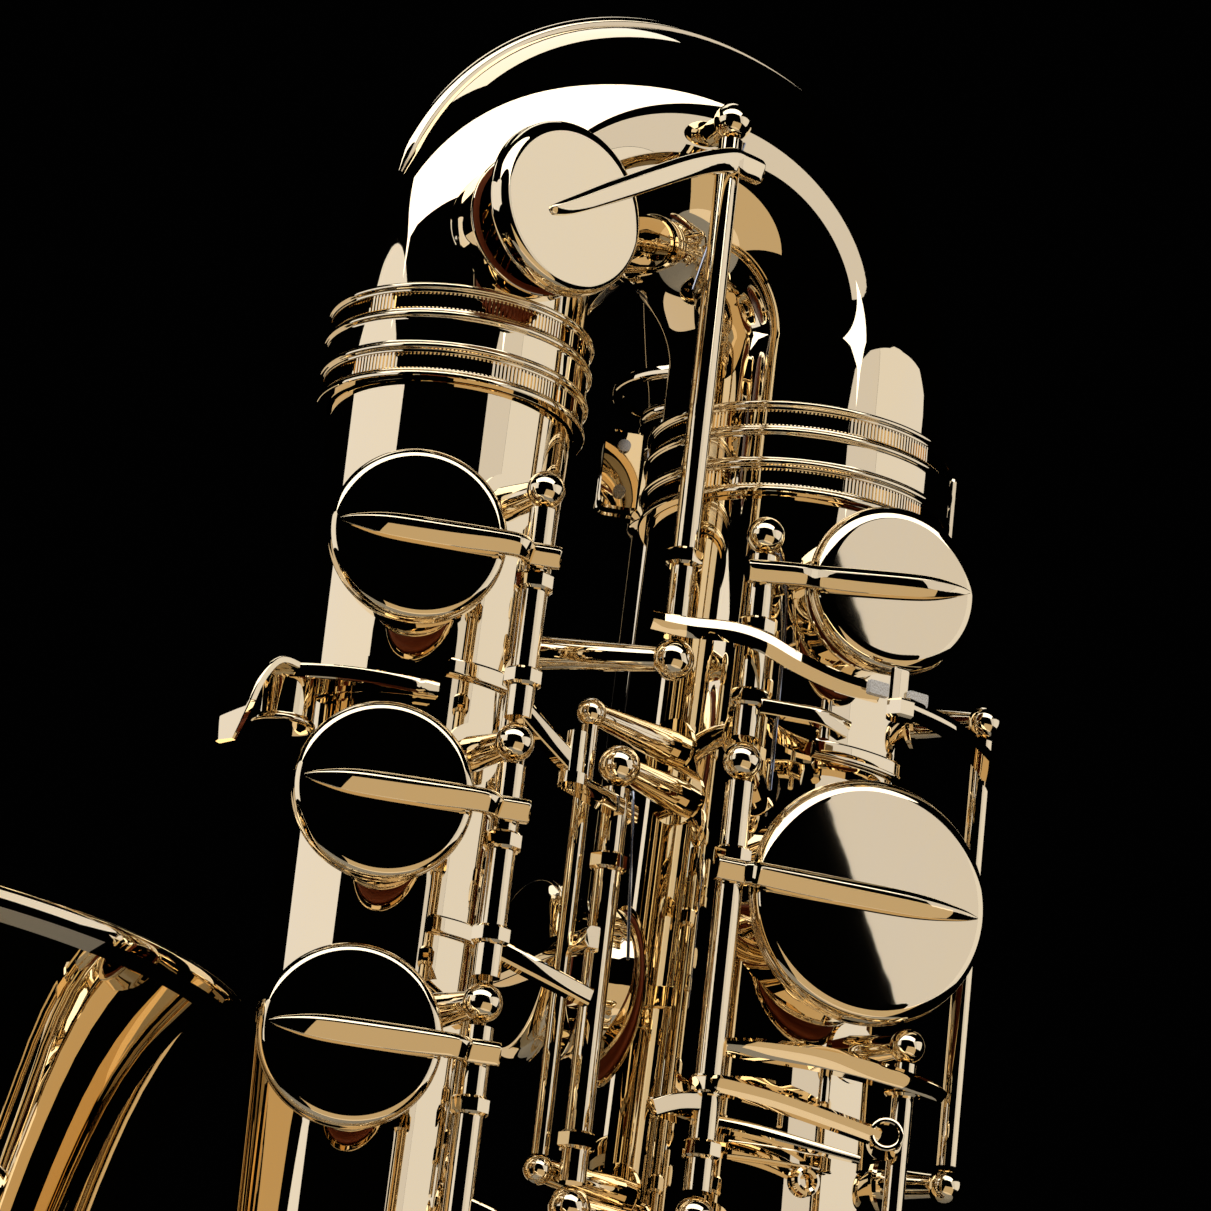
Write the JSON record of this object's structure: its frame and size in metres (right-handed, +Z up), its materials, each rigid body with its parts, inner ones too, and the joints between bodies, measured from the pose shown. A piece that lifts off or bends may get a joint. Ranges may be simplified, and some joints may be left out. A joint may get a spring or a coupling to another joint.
{
  "type": "bass saxophone",
  "caption": "Gold-lacquered bass saxophone with a tall upper bow, knurled ferrules, raised key cups on ball posts, hinge rods, neck and mouthpiece.",
  "frame": {"origin": "centre of the peg socket's foot under the bottom bow", "axes": "+Z up along the tubes, +X from the climbing leg to the main body, +Y towards the player"},
  "size_m": [0.3757, 0.3944, 1.0965],
  "materials": {
    "gold_lacquer": "polished clear gold lacquer",
    "pad_leather": "red-brown kid leather",
    "blued_steel": "polished steel screws",
    "pearl": "polished mother-of-pearl touches",
    "ebonite": "polished hard rubber",
    "cane": "bare cane",
    "cork": "cork"
  },
  "bodies": {
    "instrument": {"bell": "gold_lacquer", "bell_brace": "gold_lacquer", "bottom_bow": "gold_lacquer", "bow_guard": "gold_lacquer", "climbing_leg": "gold_lacquer", "crook_ring_down": "gold_lacquer", "crook_ring_leg": "gold_lacquer", "down_tube": "gold_lacquer", "ferrule_left": "gold_lacquer", "ferrule_right": "gold_lacquer", "guard_low_b": "gold_lacquer", "guard_low_bflat": "gold_lacquer", "lower_crook": "gold_lacquer", "main_body": "gold_lacquer", "receiver_screw_1": "blued_steel", "receiver_screw_2": "blued_steel", "strap_ring": "gold_lacquer", "thumb_hook": "gold_lacquer", "upper_bow": "gold_lacquer"},
    "key_palm_1": {"key_palm_1": "gold_lacquer", "pad_palm_1": "pad_leather"},
    "key_palm_2": {"key_palm_2": "gold_lacquer", "pad_palm_2": "pad_leather"},
    "key_palm_3": {"key_palm_3": "gold_lacquer", "pad_palm_3": "pad_leather"},
    "key_stack_1": {"key_stack_1": "gold_lacquer", "pad_stack_1": "pad_leather"},
    "key_stack_2": {"key_stack_2": "gold_lacquer", "pad_stack_2": "pad_leather"},
    "key_side_1": {"key_side_1": "gold_lacquer", "pad_side_1": "pad_leather"},
    "key_stack_3": {"key_stack_3": "gold_lacquer", "pad_stack_3": "pad_leather", "pearl_stack_3": "pearl"},
    "key_stack_4": {"key_stack_4": "gold_lacquer", "pad_stack_4": "pad_leather", "pearl_stack_4": "pearl"},
    "key_stack_5": {"key_stack_5": "gold_lacquer", "pad_stack_5": "pad_leather", "pearl_stack_5": "pearl"},
    "key_stack_6": {"key_stack_6": "gold_lacquer", "pad_stack_6": "pad_leather", "pearl_stack_6": "pearl"},
    "key_low_d": {"key_low_d": "gold_lacquer", "pad_low_d": "pad_leather"},
    "key_low_c": {"key_low_c": "gold_lacquer", "pad_low_c": "pad_leather"},
    "key_low_b": {"key_low_b": "gold_lacquer", "pad_low_b": "pad_leather"},
    "key_low_bflat": {"key_low_bflat": "gold_lacquer", "pad_low_bflat": "pad_leather"},
    "key_bow": {"key_bow": "gold_lacquer", "pad_bow": "pad_leather"},
    "key_side_rod": {"key_side_rod": "gold_lacquer"},
    "neck": {"neck": "gold_lacquer", "neck_cork": "cork", "mouthpiece": "ebonite", "reed": "cane", "ligature": "gold_lacquer"},
    "octave_key": {"octave_key": "gold_lacquer"}
  },
  "joints": [
    {"name": "key_palm_1_hinge", "type": "hinge", "parent": "instrument", "child": "key_palm_1", "pos_m": [0.02341, -0.07763, 0.934], "axis": [0, 0, 1], "range_deg": [-13, 0], "stiffness_Nm_per_rad": 0.04, "springref_deg": 20.05},
    {"name": "key_palm_2_hinge", "type": "hinge", "parent": "instrument", "child": "key_palm_2", "pos_m": [0.02341, -0.07763, 0.883], "axis": [0, 0, 1], "range_deg": [-13, 0], "stiffness_Nm_per_rad": 0.04, "springref_deg": 20.05},
    {"name": "key_palm_3_hinge", "type": "hinge", "parent": "instrument", "child": "key_palm_3", "pos_m": [0.02341, -0.07763, 0.836], "axis": [0, 0, 1], "range_deg": [-13, 0], "stiffness_Nm_per_rad": 0.04, "springref_deg": 20.05},
    {"name": "key_stack_1_hinge", "type": "hinge", "parent": "instrument", "child": "key_stack_1", "pos_m": [0.07137, -0.081, 0.946], "axis": [0, 0, 1], "range_deg": [0, 11], "stiffness_Nm_per_rad": 0.04, "springref_deg": -20.05},
    {"name": "key_stack_2_hinge", "type": "hinge", "parent": "instrument", "child": "key_stack_2", "pos_m": [0.07137, -0.081, 0.881], "axis": [0, 0, 1], "range_deg": [0, 11], "stiffness_Nm_per_rad": 0.04, "springref_deg": -20.05},
    {"name": "key_side_1_hinge", "type": "hinge", "parent": "instrument", "child": "key_side_1", "pos_m": [0.05337, -0.064, 0.866], "axis": [0, 0, 1], "range_deg": [-9, 0], "stiffness_Nm_per_rad": 0.04, "springref_deg": 20.05},
    {"name": "key_stack_3_hinge", "type": "hinge", "parent": "instrument", "child": "key_stack_3", "pos_m": [0.06901, -0.08046, 0.772], "axis": [0, 0, 1], "range_deg": [0, 10], "stiffness_Nm_per_rad": 0.04, "springref_deg": -20.05},
    {"name": "key_stack_4_hinge", "type": "hinge", "parent": "instrument", "child": "key_stack_4", "pos_m": [0.06819, -0.08151, 0.703], "axis": [0, 0, 1], "range_deg": [0, 10], "stiffness_Nm_per_rad": 0.04, "springref_deg": -20.05},
    {"name": "key_stack_5_hinge", "type": "hinge", "parent": "instrument", "child": "key_stack_5", "pos_m": [0.06735, -0.08259, 0.632], "axis": [0, 0, 1], "range_deg": [0, 10], "stiffness_Nm_per_rad": 0.04, "springref_deg": -20.05},
    {"name": "key_stack_6_hinge", "type": "hinge", "parent": "instrument", "child": "key_stack_6", "pos_m": [0.06648, -0.0837, 0.559], "axis": [0, 0, 1], "range_deg": [0, 10], "stiffness_Nm_per_rad": 0.04, "springref_deg": -20.05},
    {"name": "key_low_d_hinge", "type": "hinge", "parent": "instrument", "child": "key_low_d", "pos_m": [0.06559, -0.08484, 0.484], "axis": [0, 0, 1], "range_deg": [0, 10], "stiffness_Nm_per_rad": 0.04, "springref_deg": -20.05},
    {"name": "key_low_c_hinge", "type": "hinge", "parent": "instrument", "child": "key_low_c", "pos_m": [0.06466, -0.08603, 0.406], "axis": [0, 0, 1], "range_deg": [0, 10], "stiffness_Nm_per_rad": 0.04, "springref_deg": -20.05},
    {"name": "key_low_b_hinge", "type": "hinge", "parent": "instrument", "child": "key_low_b", "pos_m": [-0.06096, -0.03461, 0.458], "axis": [0, 0, 1], "range_deg": [-7, 0], "stiffness_Nm_per_rad": 0.04, "springref_deg": 20.05},
    {"name": "key_low_bflat_hinge", "type": "hinge", "parent": "instrument", "child": "key_low_bflat", "pos_m": [-0.05722, -0.04163, 0.598], "axis": [0, 0, 1], "range_deg": [-7, 0], "stiffness_Nm_per_rad": 0.04, "springref_deg": 20.05},
    {"name": "key_bow_hinge", "type": "hinge", "parent": "instrument", "child": "key_bow", "pos_m": [0.05738, -0.074, 0.988], "axis": [0, 0, 1], "range_deg": [-10, 0], "stiffness_Nm_per_rad": 0.04, "springref_deg": 20.05},
    {"name": "key_side_rod_hinge", "type": "hinge", "parent": "instrument", "child": "key_side_rod", "pos_m": [0.13019, -0.07524, 0.878], "axis": [0, 0, 1], "range_deg": [0, 16]},
    {"name": "neck_swivel", "type": "hinge", "parent": "instrument", "child": "neck", "pos_m": [0.10637, 0.017, 1.01], "axis": [0, 0, 1], "range_deg": [-12, 12]},
    {"name": "octave_key_hinge", "type": "hinge", "parent": "neck", "child": "octave_key", "pos_m": [0.11681, 0.09127, 1.0929], "axis": [0.9903, -0.1392, 0], "range_deg": [0, 1.8], "stiffness_Nm_per_rad": 0.3, "springref_deg": -5.73}
  ],
  "couplings": [
    {"joint": "key_side_rod_hinge", "follows": "key_bow_hinge", "ratio": -1.6}
  ]
}
